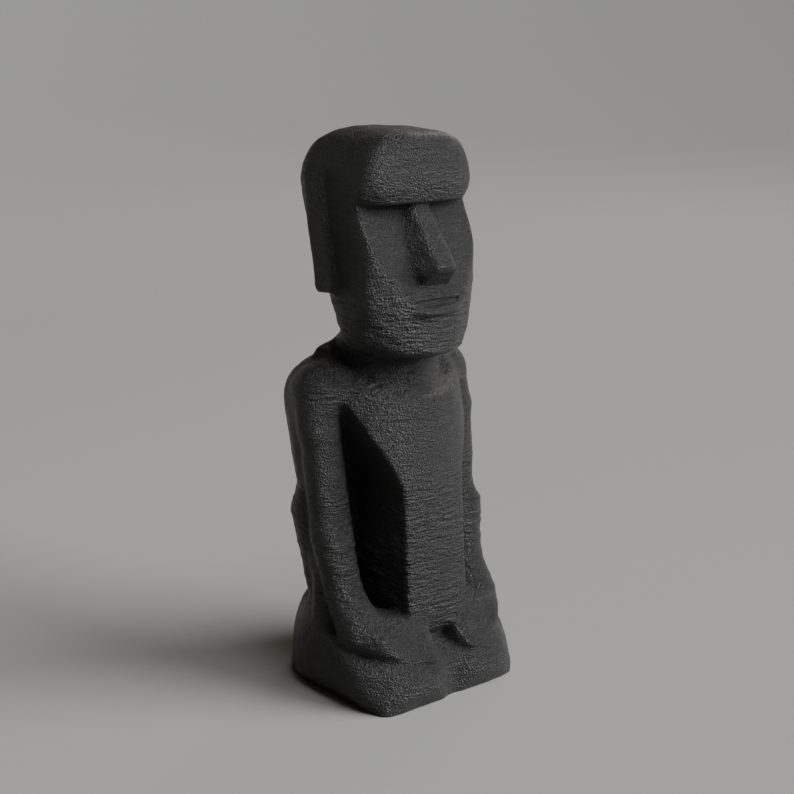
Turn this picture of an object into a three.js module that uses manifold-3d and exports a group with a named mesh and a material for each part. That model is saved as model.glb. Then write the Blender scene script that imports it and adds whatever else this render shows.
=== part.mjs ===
// A kneeling stone-head figure with its hands on its thighs, printed as one solid desk ornament.
// Front is -Y, its right hand is on the -X side and it stands on the XY plane.
import * as THREE from 'three';
import { mergeVertices } from 'three/addons/utils/BufferGeometryUtils.js';
import Module from 'manifold-3d';

// Driving dimension in millimetres: the figure's whole height
const HEIGHT = 120;

// All forms below are shares of the height, in hundredths of it. They are given for the side
// where x is positive, and the other side mirrors it.
const UNIT = HEIGHT / 100;

// Half the body's and half the head's width
const BODY_SIDE = 18.4;
const HEAD_SIDE = 12.4;

const SKULL = { centre: [0, -1.1, 82], half: [HEAD_SIDE, 19.2, 28], round: 7 };
const CROWN = { centre: [0, 4, 40], radius: 60, blend: 9 };
const HEAD_BACK = { point: [0, 18.1, 90], normal: [0, 1, -0.5], blend: 6 };
const NAPE = { point: [10, 10.2, 72], normal: [0.7, 0.7, -0.25], top: 74, edge: 1, blend: 1.5 };
const MUZZLE = { front: -10, radius: 17.2, narrowing: 6, top: 73.5, tall: 12, curve: 1.5, blend: 1.2 };
const CHEEK = { point: [0, -7, 76.4], normal: [0, -0.921, 0.39], blend: 0.6 };
const CHIN = { point: [0, -10, 61], normal: [0, 0.12, -1], blend: 2.2 };
const BROW = { centreY: 28.9, radius: 36, round: 2.5, bottom: 87.3, edge: 0.6, blend: 0.3 };
const BROW_BEVEL = { radius: 36.1, top: 91, slope: 0.42, blend: 0.6 };
const BROW_CORNER = { point: [12.3, -4.6, 90.5], normal: [0.62, -0.62, -0.48], blend: 1 };
const MOUTH = { centre: [0, -10.1, 70.8], half: [5, 1.5, 0.45], round: 0.3, blend: 0.3 };
const LIP = { centre: [0, -7.6, 69.5], radii: [6.2, 3.5, 1.4], blend: 0.5 };

const NOSE = { bottom: 73.6, top: 90, back: 2, edge: 0.5, blend: 0.4 };
const NOSE_RIDGE = { point: [0, -11.3, 77.8], normal: [0, -0.809, 0.588] };
const NOSE_SIDE = { point: [1.9, -11.1, 78], normal: [0.85, -0.43, 0.32], blend: 0.7 };
const NOSE_WING = { point: [3.9, -8.2, 76], normal: [0.9, -0.4, -0.25], blend: 0.8 };
const NOSE_END = { point: [0, -12, 77.3], normal: [0, -0.72, -0.69], blend: 0.5 };

const EAR = { centre: [11.9, 7.5, 82.3], half: [1.9, 2.6, 10.4], round: 1, lean: 0.2, blend: 0.6 };
const EAR_FACE = { point: [HEAD_SIDE + 0.85, 8, 83], normal: [1, 0, 0.05], blend: 1 };

const NECK = { centre: [0, 4.4, 58], half: [9.6, 5.5, 9], round: 5, blend: 1.4 };
const NECK_FOOT = { from: [0, 5, 61], to: [0, 2.6, 50], radii: [7, 10.2], blend: 2.6 };
const TRUNK = { centre: [0, 10.9, 36], half: [BODY_SIDE, 6.2, 29], round: 6 };
const WAIST = { point: [BODY_SIDE - 0.6, 11.9, 51], normal: [0.8, 0.57, -0.17], blend: 3 };
const SHOULDER_TOP = { point: [12.2, 10, 59.1], normal: [0.38, 0.16, 1], blend: 5 };
const LOIN = { from: [12.8, 9, 32], to: [11.4, 8.4, 15], radii: [4.6, 2.9], blend: 2.5 };

const CHEST = { centreY: 7.6, radius: 17.4, bottom: 38, lean: 0.13, blend: 0.8 };
const BELLY = { centreY: 20, radius: 29.2, top: 38.5, lean: 0.06, blend: 1.5 };
const BELLY_SIDE = { point: [6.9, -8.9, 34], normal: [1, -0.06, 0], blend: 0.7 };
const CHEST_SIDE = { point: [6.9, -8.9, 38.6], normal: [0.9, 0.05, -0.44], blend: 1 };
const CHEST_TOP = { point: [9, 0, 58.6], normal: [0.3, -0.42, 1], blend: 4 };
const CHEST_BACK = { point: [0, 10, 40], normal: [0, 1, 0], blend: 1 };
const CHEST_EDGE = { point: [16, 0, 50], normal: [1, 0, 0], blend: 3 };
const BELLY_END = { point: [0, -8.8, 9.8], normal: [0, -0.74, -0.67], blend: 3.8 };
const COLLAR = { centre: [0, -3.5, 62], radii: [11.6, 10.5, 8.9], blend: 1.5 };

const COLLARBONE = { from: [6, 1.5, 54.5], to: [12.5, 4.5, 55.8], radii: [3.8, 4.2], blend: 2.5 };
const SHOULDER = { from: [BODY_SIDE - 4.2, 6, 54.5], to: [BODY_SIDE - 2.8, 4.3, 48], radii: [4.9, 3.6] };
const UPPER_ARM = {
  from: [BODY_SIDE - 2.8, 4.3, 48], to: [BODY_SIDE - 3.6, 2.4, 32], radii: [3.6, 3.7], blend: 1,
};
const FOREARM = {
  from: [BODY_SIDE - 2.9, 1.3, 29.5], to: [BODY_SIDE - 3.8, -0.8, 19.5], radii: [3.8, 3.3], blend: 1.2,
};
const WRIST = {
  from: [BODY_SIDE - 3.8, -0.8, 19.5], to: [BODY_SIDE - 4.4, -4.2, 13.8], radii: [3.3, 4], blend: 0.8,
};
const INNER_ELBOW = { from: [13.2, 5.5, 33], to: [14.4, 2.8, 13], radii: [2.8, 3.4], blend: 1 };

const PALM = { from: [BODY_SIDE - 5.6, -4.5, 12.5], to: [7.2, -10.5, 11], radii: [4.8, 5.6], blend: 0.25 };
const HAND_BACK = { point: [7.7, -14, 9.2], normal: [0.03, -0.79, 0.62], blend: 0.8 };
const HAND_TOP = { point: [10, -10, 14.6], normal: [0.1, -0.3, 1], blend: 0.8 };
const HAND_OUTER = { point: [8, -14.2, 9], normal: [0.42, -0.9, -0.08], blend: 1 };
const HAND_INNER = { point: [3.2, -11.5, 12.6], normal: [-0.88, -0.26, 0.38], blend: 2.2 };
const HAND_UNDER = { point: [7.7, -14, 8.2], normal: [0.2, -0.25, -0.93], blend: 0.5 };

const THIGH = {
  centre: [BODY_SIDE / 2 - 0.1, -3, 2.9], half: [BODY_SIDE / 2 - 0.3, 12.4, 6.6], round: 5.4, blend: 1.2,
};
const SEAT = { centre: [0, 2.2, 4], half: [BODY_SIDE, 15.5, 12.5], round: 5 };
const LAP = { point: [9, -9, 9.3], normal: [0.04, -0.45, 1], blend: 2 };
const FRONT_RIM = { point: [0, -15.5, 3.5], normal: [0, -0.9, -0.44], blend: 0.5 };
const SIDE_RIM = { point: [BODY_SIDE + 0.3, -5, 3.2], normal: [0.8, 0, -0.6], blend: 1.2 };
const KNEE_CORNER = { point: [BODY_SIDE - 3.8, -13.4, 4], normal: [0.7, -0.67, 0.27], blend: 3 };
const HIP_CORNER = { point: [BODY_SIDE - 1.4, 12, 9], normal: [0.76, 0.5, 0.5], blend: 3 };
const HEEL_CORNER = { point: [BODY_SIDE - 1.2, 11.4, 5], normal: [0.8, 0.58, 0.05], blend: 3 };

// How softly the parts run into each other
const ARM_BLEND = 1.5;
const CHEST_BLEND = 1.2;
const HEAD_BLEND = 1.2;
const LEG_BLEND = 0.9;

// How deep the field goes on below the underside, where a flat cut ends the solid
const FOOTING = -1.3;

// The steps of the grid on which the surface is drawn: fine near the face and hands
const FINE = 1.5;
const COARSE = 2.6;
const FACE = { side: 6, depth: 0, bottom: 59, top: 94 };
const HANDS = { bottom: 4, top: 17 };
const AIR = 2 * COARSE;
const SIDE_STEP = 0.75 * COARSE;

// How far a vertex stays from the walls of its box, and how far inside a closed corner is taken
const BOX_MARGIN = 0.1;
const PINCH = 0.05;

// How vertices are drawn onto the surface: the reach for the slope, the rounds and the least slope
const DRAW = { reach: 0.05, rounds: 2, leastSlope: 0.3 };

const PRINT = new THREE.MeshStandardMaterial({ color: 0x1d1d1f, roughness: 0.62, metalness: 0 });

// Smooth ways to join and cut fields

function join(a, b, blend) {
  const h = THREE.MathUtils.clamp(0.5 + 0.5 * (b - a) / blend, 0, 1);
  return b + (a - b) * h - blend * h * (1 - h);
}

function trim(a, b, blend) {
  return -join(-a, -b, blend);
}

// Distance fields of the plain forms: negative inside, positive outside

function blockField({ centre, half, round }, x, y, z) {
  const qx = Math.abs(x - centre[0]) - half[0] + round;
  const qy = Math.abs(y - centre[1]) - half[1] + round;
  const qz = Math.abs(z - centre[2]) - half[2] + round;
  const outside = Math.hypot(Math.max(qx, 0), Math.max(qy, 0), Math.max(qz, 0));
  return outside + Math.min(Math.max(qx, qy, qz), 0) - round;
}

function ovalField({ centre, radii }, x, y, z) {
  const px = (x - centre[0]) / radii[0];
  const py = (y - centre[1]) / radii[1];
  const pz = (z - centre[2]) / radii[2];
  const reach = Math.hypot(px, py, pz);
  const slope = Math.hypot(px / radii[0], py / radii[1], pz / radii[2]);
  return reach * (reach - 1) / Math.max(slope, 1e-6);
}

function ballField({ centre, radius }, x, y, z) {
  return Math.hypot(x - centre[0], y - centre[1], z - centre[2]) - radius;
}

function limbField({ from, to, radii }, x, y, z) {
  const ax = x - from[0];
  const ay = y - from[1];
  const az = z - from[2];
  const bx = to[0] - from[0];
  const by = to[1] - from[1];
  const bz = to[2] - from[2];
  const along = (ax * bx + ay * by + az * bz) / (bx * bx + by * by + bz * bz);
  const t = THREE.MathUtils.clamp(along, 0, 1);
  const radius = THREE.MathUtils.lerp(radii[0], radii[1], t);
  return Math.hypot(ax - t * bx, ay - t * by, az - t * bz) - radius;
}

function planeField({ point, normal }, x, y, z) {
  const along = (x - point[0]) * normal[0] + (y - point[1]) * normal[1] + (z - point[2]) * normal[2];
  return along / Math.hypot(...normal);
}

function pillarField(centreY, radius, x, y) {
  return Math.hypot(x, y - centreY) - radius;
}

function cut(shape, planes, x, y, z) {
  return planes.reduce((kept, plane) => trim(kept, planeField(plane, x, y, z), plane.blend), shape);
}

function grow(shape, limbs, x, y, z) {
  return limbs.reduce((grown, limb) => join(grown, limbField(limb, x, y, z), limb.blend), shape);
}

// The figure's parts

function head(x, y, z) {
  let skull = trim(blockField(SKULL, x, y, z), ballField(CROWN, x, y, z), CROWN.blend);
  skull = cut(skull, [HEAD_BACK], x, y, z);
  const nape = join(planeField(NAPE, x, y, z), NAPE.top - z, NAPE.edge);
  let shape = trim(trim(skull, nape, NAPE.blend), muzzle(x, y, z), MUZZLE.blend);
  shape = join(shape, brow(skull, x, y, z), BROW.blend);
  shape = join(shape, ovalField(LIP, x, y, z), LIP.blend);
  return trim(shape, -blockField(MOUTH, x, y, z), MOUTH.blend);
}

function muzzle(x, y, z) {
  const narrowing = THREE.MathUtils.clamp((MUZZLE.top - z) / MUZZLE.tall, 0, 1) ** MUZZLE.curve;
  const radius = MUZZLE.radius - MUZZLE.narrowing * narrowing;
  return cut(pillarField(MUZZLE.front + radius, radius, x, y), [CHIN, CHEEK], x, y, z);
}

function brow(skull, x, y, z) {
  const front = pillarField(BROW.centreY, BROW.radius, x, y);
  const bevelRadius = BROW_BEVEL.radius - BROW_BEVEL.slope * (BROW_BEVEL.top - z);
  const bevel = pillarField(BROW.centreY, bevelRadius, x, y) / Math.hypot(1, BROW_BEVEL.slope);
  const shape = trim(trim(skull, front, BROW.round), bevel, BROW_BEVEL.blend);
  return trim(cut(shape, [BROW_CORNER], x, y, z), BROW.bottom - z, BROW.edge);
}

function nose(x, y, z) {
  let shape = cut(planeField(NOSE_RIDGE, x, y, z), [NOSE_SIDE, NOSE_WING, NOSE_END], x, y, z);
  shape = trim(shape, NOSE.bottom - z, NOSE.edge);
  shape = trim(shape, z - NOSE.top, NOSE.edge);
  return trim(shape, y - NOSE.back, NOSE.edge);
}

function ear(x, y, z) {
  const slab = blockField(EAR, x, y - (z - EAR.centre[2]) * EAR.lean, z);
  return cut(slab, [EAR_FACE], x, y, z);
}

function trunk(x, y, z) {
  return grow(cut(blockField(TRUNK, x, y, z), [WAIST, SHOULDER_TOP], x, y, z), [LOIN], x, y, z);
}

function chest(x, y, z) {
  const chestRadius = CHEST.radius - CHEST.lean * Math.max(z - CHEST.bottom, 0);
  const plate = pillarField(CHEST.centreY, chestRadius, x, y);
  const bellyRadius = BELLY.radius + BELLY.lean * (BELLY.top - z);
  const belly = pillarField(BELLY.centreY, bellyRadius, x, y);
  const front = join(plate, trim(belly, z - BELLY.top, BELLY.blend), CHEST.blend);
  const side = join(planeField(BELLY_SIDE, x, y, z), planeField(CHEST_SIDE, x, y, z), CHEST_SIDE.blend);
  const shape = trim(front, side, BELLY_SIDE.blend);
  return cut(shape, [CHEST_TOP, CHEST_BACK, CHEST_EDGE, BELLY_END], x, y, z);
}

function arm(x, y, z) {
  return grow(limbField(SHOULDER, x, y, z), [UPPER_ARM, COLLARBONE, INNER_ELBOW, FOREARM, WRIST], x, y, z);
}

function hand(x, y, z) {
  const planes = [HAND_BACK, HAND_TOP, HAND_OUTER, HAND_INNER, HAND_UNDER];
  return cut(limbField(PALM, x, y, z), planes, x, y, z);
}

function legs(x, y, z) {
  const seat = cut(blockField(SEAT, x, y, z), [LAP], x, y, z);
  const shape = join(blockField(THIGH, x, y, z), seat, THIGH.blend);
  return cut(shape, [FRONT_RIM, SIDE_RIM, KNEE_CORNER, HIP_CORNER, HEEL_CORNER], x, y, z);
}

function figureField(side, y, z) {
  const x = Math.abs(side);
  let top = join(head(x, y, z), ear(x, y, z), EAR.blend);
  top = join(top, nose(x, y, z), NOSE.blend);
  let torso = join(trunk(x, y, z), arm(x, y, z), ARM_BLEND);
  torso = join(torso, chest(x, y, z), CHEST_BLEND);
  torso = trim(torso, -ovalField(COLLAR, x, y, z), COLLAR.blend);
  torso = join(torso, blockField(NECK, x, y, z), NECK.blend);
  torso = grow(torso, [NECK_FOOT], x, y, z);
  const lower = join(legs(x, y, z), hand(x, y, z), PALM.blend);
  const shape = join(join(top, torso, HEAD_BLEND), lower, LEG_BLEND);
  return Math.max(shape, FOOTING - z);
}

// The surface where a field is zero, drawn on a grid of boxes: one vertex in each box that the
// surface crosses, and one square of two triangles across each grid edge that it crosses

function gridLines(from, to, stepAt) {
  const lines = [from];
  while (lines[lines.length - 1] < to) {
    const last = lines[lines.length - 1];
    lines.push(last + stepAt(last));
  }
  return lines;
}

function mirroredLines(to, stepAt) {
  const side = gridLines(stepAt(0) / 2, to, stepAt);
  return [...side.map((x) => -x).reverse(), ...side];
}

// Where two corners of a grid square lie inside and the two across from them outside, the
// surface would touch itself along an edge. The nearer of the outer corners is taken inside.
function closePinches(values, [nx, ny, nz], at) {
  const across = [[1, 0, 0], [0, 1, 0], [0, 0, 1]];
  let closed = 1;
  while (closed > 0) {
    closed = 0;
    for (let k = 0; k < nz - 1; k++) {
      for (let j = 0; j < ny - 1; j++) {
        for (let i = 0; i < nx - 1; i++) {
          for (let axis = 0; axis < 3; axis++) {
            const u = across[(axis + 1) % 3];
            const v = across[(axis + 2) % 3];
            const a = at(i, j, k);
            const b = at(i + u[0], j + u[1], k + u[2]);
            const c = at(i + v[0], j + v[1], k + v[2]);
            const d = at(i + u[0] + v[0], j + u[1] + v[1], k + u[2] + v[2]);
            const [aIn, bIn, cIn, dIn] = [a, b, c, d].map((n) => values[n] < 0);
            if (aIn !== dIn || bIn !== cIn || aIn === bIn) continue;
            const outer = aIn ? [b, c] : [a, d];
            const nearer = values[outer[0]] < values[outer[1]] ? outer[0] : outer[1];
            values[nearer] = -PINCH;
            closed++;
          }
        }
      }
    }
  }
}

function surfaceOf(field, xs, ys, zs) {
  const [nx, ny, nz] = [xs.length, ys.length, zs.length];
  const at = (i, j, k) => (k * ny + j) * nx + i;
  const values = new Float64Array(nx * ny * nz);
  for (let k = 0; k < nz; k++) {
    for (let j = 0; j < ny; j++) {
      for (let i = 0; i < nx; i++) {
        values[at(i, j, k)] = field(xs[i], ys[j], zs[k]);
      }
    }
  }
  closePinches(values, [nx, ny, nz], at);
  const positions = [];
  const vertexOf = new Map();

  function vertex(i, j, k) {
    const key = at(i, j, k);
    if (!vertexOf.has(key)) {
      vertexOf.set(key, positions.length / 3);
      positions.push(...meetingPoint(i, j, k));
    }
    return vertexOf.get(key);
  }

  // The mean of the places where the box's edges cross the surface, then drawn onto the surface
  function meetingPoint(i, j, k) {
    const mean = new THREE.Vector3();
    let crossings = 0;
    const corner = (n) => [i + (n & 1), j + ((n >> 1) & 1), k + (n >> 2)];
    for (let from = 0; from < 8; from++) {
      for (const bit of [1, 2, 4]) {
        if (from & bit) continue;
        const a = corner(from);
        const b = corner(from | bit);
        const va = values[at(...a)];
        const vb = values[at(...b)];
        if ((va < 0) === (vb < 0)) continue;
        const start = new THREE.Vector3(xs[a[0]], ys[a[1]], zs[a[2]]);
        const end = new THREE.Vector3(xs[b[0]], ys[b[1]], zs[b[2]]);
        mean.add(start.lerp(end, va / (va - vb)));
        crossings++;
      }
    }
    mean.divideScalar(crossings);
    const box = new THREE.Box3(
      new THREE.Vector3(xs[i], ys[j], zs[k]),
      new THREE.Vector3(xs[i + 1], ys[j + 1], zs[k + 1]),
    ).expandByScalar(-BOX_MARGIN);
    return box.clampPoint(drawnOn(field, mean), mean).toArray();
  }

  const triangles = [];
  function square(a, b, c, d, flipped) {
    triangles.push(...(flipped ? [a, c, b, a, d, c] : [a, b, c, a, c, d]));
  }
  for (let k = 1; k < nz - 1; k++) {
    for (let j = 1; j < ny - 1; j++) {
      for (let i = 1; i < nx - 1; i++) {
        const inside = values[at(i, j, k)] < 0;
        if (inside !== values[at(i + 1, j, k)] < 0) {
          square(vertex(i, j - 1, k - 1), vertex(i, j, k - 1), vertex(i, j, k), vertex(i, j - 1, k), !inside);
        }
        if (inside !== values[at(i, j + 1, k)] < 0) {
          square(vertex(i - 1, j, k - 1), vertex(i - 1, j, k), vertex(i, j, k), vertex(i, j, k - 1), !inside);
        }
        if (inside !== values[at(i, j, k + 1)] < 0) {
          square(vertex(i - 1, j - 1, k), vertex(i, j - 1, k), vertex(i, j, k), vertex(i - 1, j, k), !inside);
        }
      }
    }
  }
  const geometry = new THREE.BufferGeometry();
  geometry.setAttribute('position', new THREE.Float32BufferAttribute(positions, 3));
  geometry.setIndex(triangles);
  return geometry;
}

function drawnOn(field, point) {
  const { reach, rounds, leastSlope } = DRAW;
  for (let round = 0; round < rounds; round++) {
    const { x, y, z } = point;
    const value = field(x, y, z);
    const slope = new THREE.Vector3(
      field(x + reach, y, z) - field(x - reach, y, z),
      field(x, y + reach, z) - field(x, y - reach, z),
      field(x, y, z + reach) - field(x, y, z - reach),
    ).divideScalar(2 * reach);
    point.addScaledVector(slope, -value / Math.max(slope.lengthSq(), leastSlope));
  }
  return point;
}

// Cutting with solids

const wasm = await Module();
wasm.setup();

function solidOf(geometry) {
  const bare = geometry.clone();
  bare.deleteAttribute('normal');
  bare.deleteAttribute('uv');
  const merged = mergeVertices(bare, 1e-5);
  const vertProperties = new Float32Array(merged.attributes.position.array);
  const triVerts = new Uint32Array(merged.index.array);
  return new wasm.Manifold(new wasm.Mesh({ numProp: 3, vertProperties, triVerts }));
}

function geometryOf(solid) {
  const mesh = solid.getMesh();
  const geometry = new THREE.BufferGeometry();
  geometry.setAttribute('position', new THREE.BufferAttribute(new Float32Array(mesh.vertProperties), 3));
  geometry.setIndex(new THREE.BufferAttribute(new Uint32Array(mesh.triVerts), 1));
  return geometry;
}

function figureGeometry() {
  const isFace = (z) => z > FACE.bottom && z < FACE.top;
  const isHand = (z) => z > HANDS.bottom && z < HANDS.top;
  const front = THIGH.centre[1] - THIGH.half[1] - AIR;
  const back = SEAT.centre[1] + SEAT.half[1] + AIR;
  const top = CROWN.centre[2] + CROWN.radius + AIR;
  const xs = mirroredLines(BODY_SIDE + AIR, (x) => (x < FACE.side ? FINE : SIDE_STEP));
  const ys = gridLines(front, back, (y) => (y < FACE.depth ? FINE : COARSE));
  const zs = gridLines(FOOTING - AIR, top, (z) => (isFace(z) || isHand(z) ? FINE : COARSE));
  const surface = surfaceOf(figureField, xs, ys, zs);
  const room = new THREE.BoxGeometry(top, top, top);
  room.translate(0, 0, top / 2);
  const standing = geometryOf(solidOf(surface).intersect(solidOf(room)));
  standing.computeBoundingBox();
  const middle = standing.boundingBox.getCenter(new THREE.Vector3());
  standing.translate(0, -middle.y, 0);
  standing.scale(UNIT, UNIT, UNIT);
  standing.computeVertexNormals();
  return standing;
}

const figure = new THREE.Mesh(figureGeometry(), PRINT);
figure.name = 'moai_figure';

const ornament = new THREE.Group();
ornament.add(figure);

export default ornament;
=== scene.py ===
"""A kneeling stone-head figure, printed in matte black plastic, standing on a pale floor."""

import bmesh
import bpy
import numpy as np
from mathutils import Matrix, Vector, noise


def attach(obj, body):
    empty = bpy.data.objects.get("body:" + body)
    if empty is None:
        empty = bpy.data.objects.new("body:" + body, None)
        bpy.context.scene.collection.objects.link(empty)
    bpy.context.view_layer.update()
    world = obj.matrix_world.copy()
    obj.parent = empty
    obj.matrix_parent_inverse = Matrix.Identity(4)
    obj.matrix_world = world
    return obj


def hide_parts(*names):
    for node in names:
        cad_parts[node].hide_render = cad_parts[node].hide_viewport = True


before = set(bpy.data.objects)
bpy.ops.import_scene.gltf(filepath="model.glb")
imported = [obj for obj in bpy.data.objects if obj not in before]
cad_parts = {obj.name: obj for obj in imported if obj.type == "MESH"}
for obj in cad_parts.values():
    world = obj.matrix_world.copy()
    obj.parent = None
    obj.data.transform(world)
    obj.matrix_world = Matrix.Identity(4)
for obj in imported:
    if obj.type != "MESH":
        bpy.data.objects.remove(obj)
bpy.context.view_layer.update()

# The figure's form, in hundredths of its height: front is -y, and x is mirrored. UNIT is one
# hundredth in metres, and MIDDLE_Y is the middle of the figure's depth, which the frame has at 0.

UNIT = 0.0012
MIDDLE_Y = 1.21

# Half the body's and half the head's width
BODY_SIDE = 18.4
HEAD_SIDE = 12.4

SKULL = {"centre": (0, -1.1, 82), "half": (HEAD_SIDE, 19.2, 28), "round": 7}
CROWN = {"centre": (0, 4, 40), "radius": 60, "blend": 9}
HEAD_BACK = {"point": (0, 18.1, 90), "normal": (0, 1, -0.5), "blend": 6}
NAPE = {"point": (10, 10.2, 72), "normal": (0.7, 0.7, -0.25), "top": 74, "edge": 1, "blend": 1.5}
MUZZLE = {"front": -10, "radius": 17.2, "narrowing": 6, "top": 73.5, "tall": 12, "curve": 1.5, "blend": 1.2}
CHEEK = {"point": (0, -7, 76.4), "normal": (0, -0.921, 0.39), "blend": 0.6}
CHIN = {"point": (0, -10, 61), "normal": (0, 0.12, -1), "blend": 2.2}
BROW = {"centre_y": 28.9, "radius": 36, "round": 2.5, "bottom": 87.3, "edge": 0.6, "blend": 0.3}
BROW_BEVEL = {"radius": 36.1, "top": 91, "slope": 0.42, "blend": 0.6}
BROW_CORNER = {"point": (12.3, -4.6, 90.5), "normal": (0.62, -0.62, -0.48), "blend": 1}
MOUTH = {"centre": (0, -10.1, 70.8), "half": (5, 1.5, 0.45), "round": 0.3, "blend": 0.3}
LIP = {"centre": (0, -7.6, 69.5), "radii": (6.2, 3.5, 1.4), "blend": 0.5}

NOSE = {"bottom": 73.6, "top": 90, "back": 2, "edge": 0.5, "blend": 0.4}
NOSE_RIDGE = {"point": (0, -11.3, 77.8), "normal": (0, -0.809, 0.588)}
NOSE_SIDE = {"point": (1.9, -11.1, 78), "normal": (0.85, -0.43, 0.32), "blend": 0.7}
NOSE_WING = {"point": (3.9, -8.2, 76), "normal": (0.9, -0.4, -0.25), "blend": 0.8}
NOSE_END = {"point": (0, -12, 77.3), "normal": (0, -0.72, -0.69), "blend": 0.5}

EAR = {"centre": (11.9, 7.5, 82.3), "half": (1.9, 2.6, 10.4), "round": 1, "lean": 0.2, "blend": 0.6}
EAR_FACE = {"point": (HEAD_SIDE + 0.85, 8, 83), "normal": (1, 0, 0.05), "blend": 1}

NECK = {"centre": (0, 4.4, 58), "half": (9.6, 5.5, 9), "round": 5, "blend": 1.4}
NECK_FOOT = {"from": (0, 5, 61), "to": (0, 2.6, 50), "radii": (7, 10.2), "blend": 2.6}
TRUNK = {"centre": (0, 10.9, 36), "half": (BODY_SIDE, 6.2, 29), "round": 6}
WAIST = {"point": (BODY_SIDE - 0.6, 11.9, 51), "normal": (0.8, 0.57, -0.17), "blend": 3}
SHOULDER_TOP = {"point": (12.2, 10, 59.1), "normal": (0.38, 0.16, 1), "blend": 5}
LOIN = {"from": (12.8, 9, 32), "to": (11.4, 8.4, 15), "radii": (4.6, 2.9), "blend": 2.5}

CHEST = {"centre_y": 7.6, "radius": 17.4, "bottom": 38, "lean": 0.13, "blend": 0.8}
BELLY = {"centre_y": 20, "radius": 29.2, "top": 38.5, "lean": 0.06, "blend": 1.5}
BELLY_SIDE = {"point": (6.9, -8.9, 34), "normal": (1, -0.06, 0), "blend": 0.7}
CHEST_SIDE = {"point": (6.9, -8.9, 38.6), "normal": (0.9, 0.05, -0.44), "blend": 1}
CHEST_TOP = {"point": (9, 0, 58.6), "normal": (0.3, -0.42, 1), "blend": 4}
CHEST_BACK = {"point": (0, 10, 40), "normal": (0, 1, 0), "blend": 1}
CHEST_EDGE = {"point": (16, 0, 50), "normal": (1, 0, 0), "blend": 3}
BELLY_END = {"point": (0, -8.8, 9.8), "normal": (0, -0.74, -0.67), "blend": 3.8}
COLLAR = {"centre": (0, -3.5, 62), "radii": (11.6, 10.5, 8.9), "blend": 1.5}

ARM_TOP = (BODY_SIDE - 2.8, 4.3, 48)
WRIST_TOP = (BODY_SIDE - 3.8, -0.8, 19.5)
COLLARBONE = {"from": (6, 1.5, 54.5), "to": (12.5, 4.5, 55.8), "radii": (3.8, 4.2), "blend": 2.5}
SHOULDER = {"from": (BODY_SIDE - 4.2, 6, 54.5), "to": ARM_TOP, "radii": (4.9, 3.6)}
UPPER_ARM = {"from": ARM_TOP, "to": (BODY_SIDE - 3.6, 2.4, 32), "radii": (3.6, 3.7), "blend": 1}
FOREARM = {"from": (BODY_SIDE - 2.9, 1.3, 29.5), "to": WRIST_TOP, "radii": (3.8, 3.3), "blend": 1.2}
WRIST = {"from": WRIST_TOP, "to": (BODY_SIDE - 4.4, -4.2, 13.8), "radii": (3.3, 4), "blend": 0.8}
INNER_ELBOW = {"from": (13.2, 5.5, 33), "to": (14.4, 2.8, 13), "radii": (2.8, 3.4), "blend": 1}

PALM = {"from": (BODY_SIDE - 5.6, -4.5, 12.5), "to": (7.2, -10.5, 11), "radii": (4.8, 5.6), "blend": 0.25}
HAND_BACK = {"point": (7.7, -14, 9.2), "normal": (0.03, -0.79, 0.62), "blend": 0.8}
HAND_TOP = {"point": (10, -10, 14.6), "normal": (0.1, -0.3, 1), "blend": 0.8}
HAND_OUTER = {"point": (8, -14.2, 9), "normal": (0.42, -0.9, -0.08), "blend": 1}
HAND_INNER = {"point": (3.2, -11.5, 12.6), "normal": (-0.88, -0.26, 0.38), "blend": 2.2}
HAND_UNDER = {"point": (7.7, -14, 8.2), "normal": (0.2, -0.25, -0.93), "blend": 0.5}

THIGH = {
    "centre": (BODY_SIDE / 2 - 0.1, -3, 2.9),
    "half": (BODY_SIDE / 2 - 0.3, 12.4, 6.6),
    "round": 5.4,
    "blend": 1.2,
}
SEAT = {"centre": (0, 2.2, 4), "half": (BODY_SIDE, 15.5, 12.5), "round": 5}
LAP = {"point": (9, -9, 9.3), "normal": (0.04, -0.45, 1), "blend": 2}
FRONT_RIM = {"point": (0, -15.5, 3.5), "normal": (0, -0.9, -0.44), "blend": 0.5}
SIDE_RIM = {"point": (BODY_SIDE + 0.3, -5, 3.2), "normal": (0.8, 0, -0.6), "blend": 1.2}
KNEE_CORNER = {"point": (BODY_SIDE - 3.8, -13.4, 4), "normal": (0.7, -0.67, 0.27), "blend": 3}
HIP_CORNER = {"point": (BODY_SIDE - 1.4, 12, 9), "normal": (0.76, 0.5, 0.5), "blend": 3}
HEEL_CORNER = {"point": (BODY_SIDE - 1.2, 11.4, 5), "normal": (0.8, 0.58, 0.05), "blend": 3}

# How softly the parts run into each other
ARM_BLEND = 1.5
CHEST_BLEND = 1.2
HEAD_BLEND = 1.2
LEG_BLEND = 0.9

# Keeps an oval's field from dividing by zero at its centre
LEAST_OVAL_SLOPE = 1e-6


def join(a, b, blend):
    h = np.clip(0.5 + 0.5 * (b - a) / blend, 0, 1)
    return b + (a - b) * h - blend * h * (1 - h)


def trim(a, b, blend):
    return -join(-a, -b, blend)


def block_field(block, x, y, z):
    centre, half, corner = block["centre"], block["half"], block["round"]
    qx = abs(x - centre[0]) - half[0] + corner
    qy = abs(y - centre[1]) - half[1] + corner
    qz = abs(z - centre[2]) - half[2] + corner
    outside = np.sqrt(np.maximum(qx, 0) ** 2 + np.maximum(qy, 0) ** 2 + np.maximum(qz, 0) ** 2)
    return outside + np.minimum(np.maximum(qx, np.maximum(qy, qz)), 0) - corner


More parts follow.
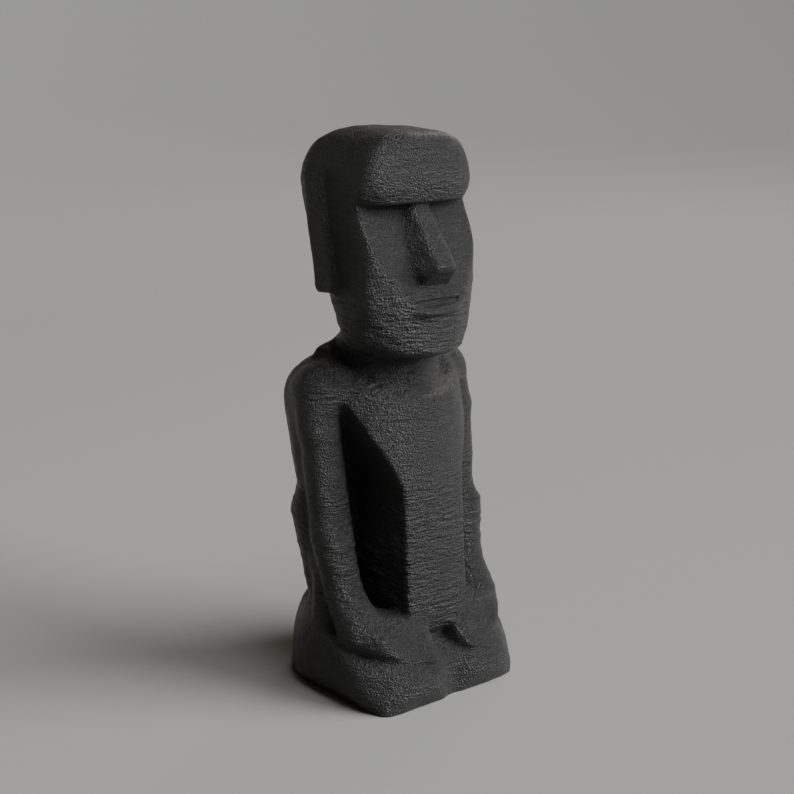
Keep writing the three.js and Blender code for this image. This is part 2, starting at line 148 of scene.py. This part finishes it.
def oval_field(oval, x, y, z):
    centre, radii = oval["centre"], oval["radii"]
    px, py, pz = (x - centre[0]) / radii[0], (y - centre[1]) / radii[1], (z - centre[2]) / radii[2]
    reach = np.sqrt(px ** 2 + py ** 2 + pz ** 2)
    slope = np.sqrt((px / radii[0]) ** 2 + (py / radii[1]) ** 2 + (pz / radii[2]) ** 2)
    return reach * (reach - 1) / np.maximum(slope, LEAST_OVAL_SLOPE)


def ball_field(ball, x, y, z):
    cx, cy, cz = ball["centre"]
    return np.sqrt((x - cx) ** 2 + (y - cy) ** 2 + (z - cz) ** 2) - ball["radius"]


def limb_field(limb, x, y, z):
    start, end, radii = limb["from"], limb["to"], limb["radii"]
    ax, ay, az = x - start[0], y - start[1], z - start[2]
    bx, by, bz = end[0] - start[0], end[1] - start[1], end[2] - start[2]
    t = np.clip((ax * bx + ay * by + az * bz) / (bx * bx + by * by + bz * bz), 0, 1)
    radius = radii[0] + (radii[1] - radii[0]) * t
    return np.sqrt((ax - t * bx) ** 2 + (ay - t * by) ** 2 + (az - t * bz) ** 2) - radius


def plane_field(plane, x, y, z):
    (px, py, pz), (nx, ny, nz) = plane["point"], plane["normal"]
    length = (nx * nx + ny * ny + nz * nz) ** 0.5
    return ((x - px) * nx + (y - py) * ny + (z - pz) * nz) / length


def pillar_field(centre_y, radius, x, y):
    return np.sqrt(x ** 2 + (y - centre_y) ** 2) - radius


def cut(shape, planes, x, y, z):
    for plane in planes:
        shape = trim(shape, plane_field(plane, x, y, z), plane["blend"])
    return shape


def grow(shape, limbs, x, y, z):
    for limb in limbs:
        shape = join(shape, limb_field(limb, x, y, z), limb["blend"])
    return shape


def head(x, y, z):
    skull = trim(block_field(SKULL, x, y, z), ball_field(CROWN, x, y, z), CROWN["blend"])
    skull = cut(skull, [HEAD_BACK], x, y, z)
    nape = join(plane_field(NAPE, x, y, z), NAPE["top"] - z, NAPE["edge"])
    shape = trim(trim(skull, nape, NAPE["blend"]), muzzle(x, y, z), MUZZLE["blend"])
    shape = join(shape, brow(skull, x, y, z), BROW["blend"])
    shape = join(shape, oval_field(LIP, x, y, z), LIP["blend"])
    return trim(shape, -block_field(MOUTH, x, y, z), MOUTH["blend"])


def muzzle(x, y, z):
    narrowing = np.clip((MUZZLE["top"] - z) / MUZZLE["tall"], 0, 1) ** MUZZLE["curve"]
    radius = MUZZLE["radius"] - MUZZLE["narrowing"] * narrowing
    return cut(pillar_field(MUZZLE["front"] + radius, radius, x, y), [CHIN, CHEEK], x, y, z)


def brow(skull, x, y, z):
    front = pillar_field(BROW["centre_y"], BROW["radius"], x, y)
    bevel_radius = BROW_BEVEL["radius"] - BROW_BEVEL["slope"] * (BROW_BEVEL["top"] - z)
    bevel = pillar_field(BROW["centre_y"], bevel_radius, x, y) / np.hypot(1, BROW_BEVEL["slope"])
    shape = trim(trim(skull, front, BROW["round"]), bevel, BROW_BEVEL["blend"])
    return trim(cut(shape, [BROW_CORNER], x, y, z), BROW["bottom"] - z, BROW["edge"])


def nose(x, y, z):
    shape = cut(plane_field(NOSE_RIDGE, x, y, z), [NOSE_SIDE, NOSE_WING, NOSE_END], x, y, z)
    shape = trim(shape, NOSE["bottom"] - z, NOSE["edge"])
    shape = trim(shape, z - NOSE["top"], NOSE["edge"])
    return trim(shape, y - NOSE["back"], NOSE["edge"])


def ear(x, y, z):
    slab = block_field(EAR, x, y - (z - EAR["centre"][2]) * EAR["lean"], z)
    return cut(slab, [EAR_FACE], x, y, z)


def trunk(x, y, z):
    return grow(cut(block_field(TRUNK, x, y, z), [WAIST, SHOULDER_TOP], x, y, z), [LOIN], x, y, z)


def chest(x, y, z):
    chest_radius = CHEST["radius"] - CHEST["lean"] * np.maximum(z - CHEST["bottom"], 0)
    plate = pillar_field(CHEST["centre_y"], chest_radius, x, y)
    belly_radius = BELLY["radius"] + BELLY["lean"] * (BELLY["top"] - z)
    belly = pillar_field(BELLY["centre_y"], belly_radius, x, y)
    front = join(plate, trim(belly, z - BELLY["top"], BELLY["blend"]), CHEST["blend"])
    side = join(plane_field(BELLY_SIDE, x, y, z), plane_field(CHEST_SIDE, x, y, z), CHEST_SIDE["blend"])
    shape = trim(front, side, BELLY_SIDE["blend"])
    return cut(shape, [CHEST_TOP, CHEST_BACK, CHEST_EDGE, BELLY_END], x, y, z)


def arm(x, y, z):
    limbs = [UPPER_ARM, COLLARBONE, INNER_ELBOW, FOREARM, WRIST]
    return grow(limb_field(SHOULDER, x, y, z), limbs, x, y, z)


def hand(x, y, z):
    planes = [HAND_BACK, HAND_TOP, HAND_OUTER, HAND_INNER, HAND_UNDER]
    return cut(limb_field(PALM, x, y, z), planes, x, y, z)


def legs(x, y, z):
    seat = cut(block_field(SEAT, x, y, z), [LAP], x, y, z)
    shape = join(block_field(THIGH, x, y, z), seat, THIGH["blend"])
    return cut(shape, [FRONT_RIM, SIDE_RIM, KNEE_CORNER, HIP_CORNER, HEEL_CORNER], x, y, z)


def figure_field(p):
    x, y, z = abs(p[:, 0]), p[:, 1], p[:, 2]
    top = join(head(x, y, z), ear(x, y, z), EAR["blend"])
    top = join(top, nose(x, y, z), NOSE["blend"])
    torso = join(trunk(x, y, z), arm(x, y, z), ARM_BLEND)
    torso = join(torso, chest(x, y, z), CHEST_BLEND)
    torso = trim(torso, -oval_field(COLLAR, x, y, z), COLLAR["blend"])
    torso = join(torso, block_field(NECK, x, y, z), NECK["blend"])
    torso = grow(torso, [NECK_FOOT], x, y, z)
    lower = join(legs(x, y, z), hand(x, y, z), PALM["blend"])
    return join(join(top, torso, HEAD_BLEND), lower, LEG_BLEND)


# The fine surface where the field is zero, drawn on a grid of even boxes from LOW to HIGH, which
# reaches below the floor, where the figure is cut off level. A vertex stays BOX_MARGIN inside its
# box while it is drawn onto the surface.

STEP = 0.44
LOW = (-20.9, -18.2, -1.5)
HIGH = (20.9, 19.8, 101.5)
PINCH = 0.02
BOX_MARGIN = 0.03
DRAW = {"reach": 0.05, "rounds": 3, "least_slope": 0.3}


def field_on(xs, ys, zs):
    values = np.empty((len(xs), len(ys), len(zs)), np.float64)
    for k, z in enumerate(zs):
        gx, gy = np.meshgrid(xs, ys, indexing="ij")
        points = np.column_stack([gx.ravel(), gy.ravel(), np.full(gx.size, z)])
        values[:, :, k] = figure_field(points).reshape(gx.shape)
    return values


def close_pinches(values):
    """Takes one more corner inside where a grid square has two inside, across from each other.

    The surface would otherwise touch itself along an edge there.
    """
    while True:
        closed = 0
        for axis in range(3):
            v = np.moveaxis(values, axis, 2)
            inside = v < 0
            p, q, r, s = inside[:-1, :-1], inside[1:, :-1], inside[:-1, 1:], inside[1:, 1:]
            for pinched, (di, dj) in (((p & s & ~q & ~r), (1, 0)), ((q & r & ~p & ~s), (0, 0))):
                i, j, k = np.nonzero(pinched)
                v[i + di, j + dj, k] = -PINCH
                closed += len(i)
        if not closed:
            return


def crossed_edges(values, lines, axis):
    """The grid edges along one axis that the surface crosses.

    Returns the start of each, the point where it is crossed, and whether it starts outside.
    """
    inside = values < 0
    here = [slice(1, -1)] * 3
    there = [slice(1, -1)] * 3
    here[axis], there[axis] = slice(0, -1), slice(1, None)
    start = np.argwhere(inside[tuple(here)] != inside[tuple(there)])
    offset = np.ones(3, int)
    offset[axis] = 0
    start += offset
    end = start.copy()
    end[:, axis] += 1
    first, last = values[tuple(start.T)], values[tuple(end.T)]
    share = first / (first - last)
    point = np.column_stack([lines[a][start[:, a]] for a in range(3)]).astype(float)
    point[:, axis] += share * (lines[axis][end[:, axis]] - lines[axis][start[:, axis]])
    return start, point, first > 0


def boxes_around(start, axis, shape):
    """The numbers of the four boxes around each edge, in order around it."""
    u, v = (axis + 1) % 3, (axis + 2) % 3
    boxes = []
    for du, dv in ((1, 1), (0, 1), (0, 0), (1, 0)):
        box = start.copy()
        box[:, u] -= du
        box[:, v] -= dv
        boxes.append(np.ravel_multi_index(tuple(box.T), shape))
    return boxes


def surface(lines):
    """One vertex in each box that the surface crosses, and one square across each crossed edge."""
    values = field_on(*lines)
    close_pinches(values)
    total, count = np.zeros((values.size, 3)), np.zeros(values.size)
    squares = []
    for axis in range(3):
        start, point, flipped = crossed_edges(values, lines, axis)
        boxes = boxes_around(start, axis, values.shape)
        for box in boxes:
            for a in range(3):
                total[:, a] += np.bincount(box, point[:, a], values.size)
            count += np.bincount(box, minlength=values.size)
        square = np.column_stack(boxes)
        square[flipped] = square[flipped][:, ::-1]
        squares.append(square)
    used = np.nonzero(count)[0]
    number = np.full(values.size, -1)
    number[used] = np.arange(len(used))
    corner = np.column_stack(np.unravel_index(used, values.shape))
    points = drawn_on(total[used] / count[used, None], corner, lines)
    return points, number[np.concatenate(squares)]


def drawn_on(points, corner, lines):
    """Draws each point onto the surface, within the box that starts at its corner."""
    low = np.column_stack([lines[a][corner[:, a]] for a in range(3)])
    high = np.column_stack([lines[a][corner[:, a] + 1] for a in range(3)])
    for _ in range(DRAW["rounds"]):
        slope = slope_at(points)
        steepness = np.maximum((slope ** 2).sum(1), DRAW["least_slope"])
        points = points - slope * (figure_field(points) / steepness)[:, None]
        points = np.clip(points, low + BOX_MARGIN, high - BOX_MARGIN)
    return points


def slope_at(points):
    reach = DRAW["reach"]
    slope = np.empty_like(points)
    for a in range(3):
        step = np.zeros(3)
        step[a] = reach
        slope[:, a] = (figure_field(points + step) - figure_field(points - step)) / (2 * reach)
    return slope


# The relief of the print: soft lumps and near-level wrinkles, as noise of a scale and a depth. The
# wrinkles wave up and down, and are deepest in bands, each with its height and its spread.

LUMP = {"scale": 0.15, "deep": 0.2}
SMALL_LUMP = {"scale": 0.42, "deep": 0.1, "shift": 31}
WAVE = {"across": 0.2, "up": 0.15, "deep": 0.7}
WRINKLE = {"across": 0.24, "up": 1.15, "deep": 0.16, "least": 0.35, "bands": ((25, 12), (64, 7))}


def relief(points):
    """How far the printed surface stands out from the plain form at each point."""
    out = np.zeros(len(points))
    for n, (x, y, z) in enumerate(points):
        lump = noise.noise(Vector((x, y, z)) * LUMP["scale"]) * LUMP["deep"]
        small = noise.noise(Vector((x + SMALL_LUMP["shift"], y, z)) * SMALL_LUMP["scale"])
        out[n] = lump + small * SMALL_LUMP["deep"] + wrinkle(x, y, z)
    return out


def wrinkle(x, y, z):
    wave_place = Vector((x * WAVE["across"], y * WAVE["across"], z * WAVE["up"]))
    waved = z + WAVE["deep"] * noise.noise(wave_place)
    wrinkled = noise.noise(Vector((x * WRINKLE["across"], y * WRINKLE["across"], waved * WRINKLE["up"])))
    bands = sum(np.exp(-((z - level) / spread) ** 2) for level, spread in WRINKLE["bands"])
    return WRINKLE["deep"] * (WRINKLE["least"] + bands) * wrinkled


# How near to the cutting plane a vertex counts as on it, in metres, and what keeps a normal from
# dividing by zero
ON_PLANE = 1e-7
FLAT = 1e-9


def figure_mesh():
    lines = [np.arange(LOW[a], HIGH[a] + STEP, STEP) for a in range(3)]
    points, squares = surface(lines)
    slope = slope_at(points)
    slope /= np.linalg.norm(slope, axis=1)[:, None] + FLAT
    points = points + slope * relief(points)[:, None]
    points = (points - (0, MIDDLE_Y, 0)) * UNIT
    mesh = bpy.data.meshes.new("figure")
    mesh.from_pydata(points.tolist(), [], squares.tolist())
    cut_level(mesh)
    return mesh


def cut_level(mesh):
    """Cuts off what lies below the floor, closes the underside and smooths all but that face."""
    shape = bmesh.new()
    shape.from_mesh(mesh)
    everything = shape.verts[:] + shape.edges[:] + shape.faces[:]
    cut_off = bmesh.ops.bisect_plane(
        shape, geom=everything, dist=ON_PLANE, plane_co=(0, 0, 0), plane_no=(0, 0, 1), clear_inner=True
    )
    rim = [e for e in cut_off["geom_cut"] if isinstance(e, bmesh.types.BMEdge)]
    under = bmesh.ops.contextual_create(shape, geom=rim)["faces"]
    for face in shape.faces:
        face.smooth = face not in under
    bmesh.ops.recalc_face_normals(shape, faces=shape.faces[:])
    shape.to_mesh(mesh)
    shape.free()


# Materials: the print's grains and thin level layers are noise over the object's metres

PRINT_SHADER = {"Roughness": 0.38, "Specular IOR Level": 0.6}
FLOOR_SHADER = {"Base Color": (0.34, 0.335, 0.32, 1), "Roughness": 0.9, "Specular IOR Level": 0.2}
GRAIN = {"Scale": 2700, "Detail": 2, "Roughness": 0.6}
LAYERS = {"Scale": 330, "Detail": 2, "Distortion": 0.3}
LAYER_STRETCH = {"Scale": (1, 1, 4.5)}
LAYER_DEPTH = 1.6
BUMP = {"Strength": 0.8, "Distance": 0.001}

# The colours between the grains and on them, each at its place in the noise
TONES = ((0.4, (0.002, 0.0018, 0.0015, 1)), (0.64, (0.017, 0.017, 0.018, 1)))

# How strongly the layers show, at shares of the height
LAYERED = (
    (0, 0.35),
    (0.15, 0.6),
    (0.24, 1),
    (0.36, 1),
    (0.42, 0.25),
    (0.5, 0.3),
    (0.56, 0.9),
    (0.7, 0.9),
    (0.76, 0.3),
    (1, 0.5),
)


def nodes_of(name):
    material = bpy.data.materials.new(name)
    material.use_nodes = True
    tree = material.node_tree
    return material, tree, tree.nodes["Principled BSDF"]


def set_inputs(node, values):
    for socket, value in values.items():
        node.inputs[socket].default_value = value


def add_placed(tree, kind, place, values):
    """Adds a node that takes a place in, with these values on its other sockets."""
    node = tree.nodes.new(kind)
    set_inputs(node, values)
    tree.links.new(place, node.inputs["Vector"])
    return node


def add_math(tree, operation, *terms):
    """Adds one calculation on these terms, each a number or another node's output."""
    node = tree.nodes.new("ShaderNodeMath")
    node.operation = operation
    for n, term in enumerate(terms):
        if isinstance(term, (int, float)):
            node.inputs[n].default_value = term
        else:
            tree.links.new(term, node.inputs[n])
    return node.outputs[0]


def add_ramp(tree, source, stops):
    """Adds a ramp with a colour at each of these places."""
    node = tree.nodes.new("ShaderNodeValToRGB")
    elements = node.color_ramp.elements
    for element, (position, colour) in zip(elements, (stops[0], stops[-1])):
        element.position = position
        element.color = colour
    for position, colour in stops[1:-1]:
        elements.new(position).color = colour
    tree.links.new(source, node.inputs["Fac"])
    return node.outputs["Color"]


def print_material():
    """Matte black filament with a sandy skin, paler on its grains, over thin level layers."""
    material, tree, shader = nodes_of("sandy_print")
    place = tree.nodes.new("ShaderNodeTexCoord").outputs["Object"]
    grain = add_placed(tree, "ShaderNodeTexNoise", place, GRAIN).outputs["Fac"]
    stretched = add_placed(tree, "ShaderNodeMapping", place, LAYER_STRETCH).outputs["Vector"]
    layers = add_placed(tree, "ShaderNodeTexNoise", stretched, LAYERS).outputs["Fac"]
    level = add_placed(tree, "ShaderNodeSeparateXYZ", place, {}).outputs["Z"]
    share = add_math(tree, "DIVIDE", level, 100 * UNIT)
    worn = add_ramp(tree, share, [(position, (weight, weight, weight, 1)) for position, weight in LAYERED])
    weighed = add_math(tree, "MULTIPLY", layers, worn)
    height = add_math(tree, "MULTIPLY_ADD", weighed, LAYER_DEPTH, grain)
    bump = tree.nodes.new("ShaderNodeBump")
    set_inputs(bump, BUMP)
    tree.links.new(height, bump.inputs["Height"])
    tree.links.new(bump.outputs["Normal"], shader.inputs["Normal"])
    tree.links.new(add_ramp(tree, grain, TONES), shader.inputs["Base Color"])
    set_inputs(shader, PRINT_SHADER)
    return material


def floor_material():
    material, _, shader = nodes_of("pale_floor")
    set_inputs(shader, FLOOR_SHADER)
    return material


# The figure

figure = bpy.data.objects.new("figure_skin", figure_mesh())
bpy.context.scene.collection.objects.link(figure)
figure.data.materials.append(print_material())
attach(figure, "root")
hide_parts("moai_figure")

# The floor is level near the figure and rises gently far off: its radii and heights in metres

SWEEP = ((0.5, 0), (0.7, 0.008), (1, 0.04), (1.5, 0.13), (2.2, 0.29), (3.2, 0.55), (5, 1.03))
SWEEP_SIDES = 64


def sweep_mesh():
    turns = np.arange(SWEEP_SIDES) * 2 * np.pi / SWEEP_SIDES
    points = [(r * np.cos(t), r * np.sin(t), height) for r, height in SWEEP for t in turns]
    faces = [tuple(range(SWEEP_SIDES))]
    for ring in range(len(SWEEP) - 1):
        for side in range(SWEEP_SIDES):
            here, there = ring * SWEEP_SIDES + side, ring * SWEEP_SIDES + (side + 1) % SWEEP_SIDES
            faces.append((here, here + SWEEP_SIDES, there + SWEEP_SIDES, there))
    mesh = bpy.data.meshes.new("floor")
    mesh.from_pydata(points, [], faces)
    for face in mesh.polygons:
        face.use_smooth = face.index > 0
    return mesh


floor = bpy.data.objects.new("floor", sweep_mesh())
bpy.context.scene.collection.objects.link(floor)
floor.data.materials.append(floor_material())

# The lights, with their places in metres: a soft sun, and two disks that face the figure's middle

FLOOR_MIDDLE = (0, 0, 0)
FIGURE_MIDDLE = (0, 0, 0.06)
WORLD = {"Color": (1, 0.86, 0.68, 1), "Strength": 0.04}


def add_light(name, kind, place, target, power, colour):
    data = bpy.data.lights.new(name, kind)
    data.energy = power
    data.color = colour
    light = bpy.data.objects.new(name, data)
    light.location = place
    light.rotation_euler = (Vector(target) - Vector(place)).to_track_quat("-Z", "Y").to_euler()
    bpy.context.scene.collection.objects.link(light)
    return data


def add_disk(name, place, power, colour, size):
    disk = add_light(name, "AREA", place, FIGURE_MIDDLE, power, colour)
    disk.shape = "DISK"
    disk.size = size


sun = add_light("key", "SUN", (0.58, -0.7, 0.45), FLOOR_MIDDLE, power=6.2, colour=(0.97, 0.98, 1))
sun.angle = 0.8
add_disk("above", (-0.05, -0.3, 0.8), power=2.5, colour=(1, 1, 1), size=0.35)
add_disk("rim", (0.75, 0.45, 0.5), power=1, colour=(1, 0.93, 0.82), size=0.4)

world = bpy.data.worlds.new("studio")
world.use_nodes = True
set_inputs(world.node_tree.nodes["Background"], WORLD)
bpy.context.scene.world = world

# The camera as fitted to the photograph: its place, and which way its right and its back point

CAMERA_PLACE = Vector((-161.17, -186.94 - MIDDLE_Y, 110.52)) * UNIT
CAMERA_RIGHT = Vector((0.7603, -0.6496, 0))
CAMERA_BACK = Vector((-0.6323, -0.7401, 0.2289))
lens = bpy.data.cameras.new("camera")
lens.sensor_width = 36
lens.lens = 64.43
lens.clip_start = 0.01
camera = bpy.data.objects.new("camera", lens)
turn = Matrix((CAMERA_RIGHT, CAMERA_BACK.cross(CAMERA_RIGHT), CAMERA_BACK)).transposed().to_4x4()
camera.matrix_world = Matrix.Translation(CAMERA_PLACE) @ turn
bpy.context.scene.collection.objects.link(camera)
bpy.context.scene.camera = camera
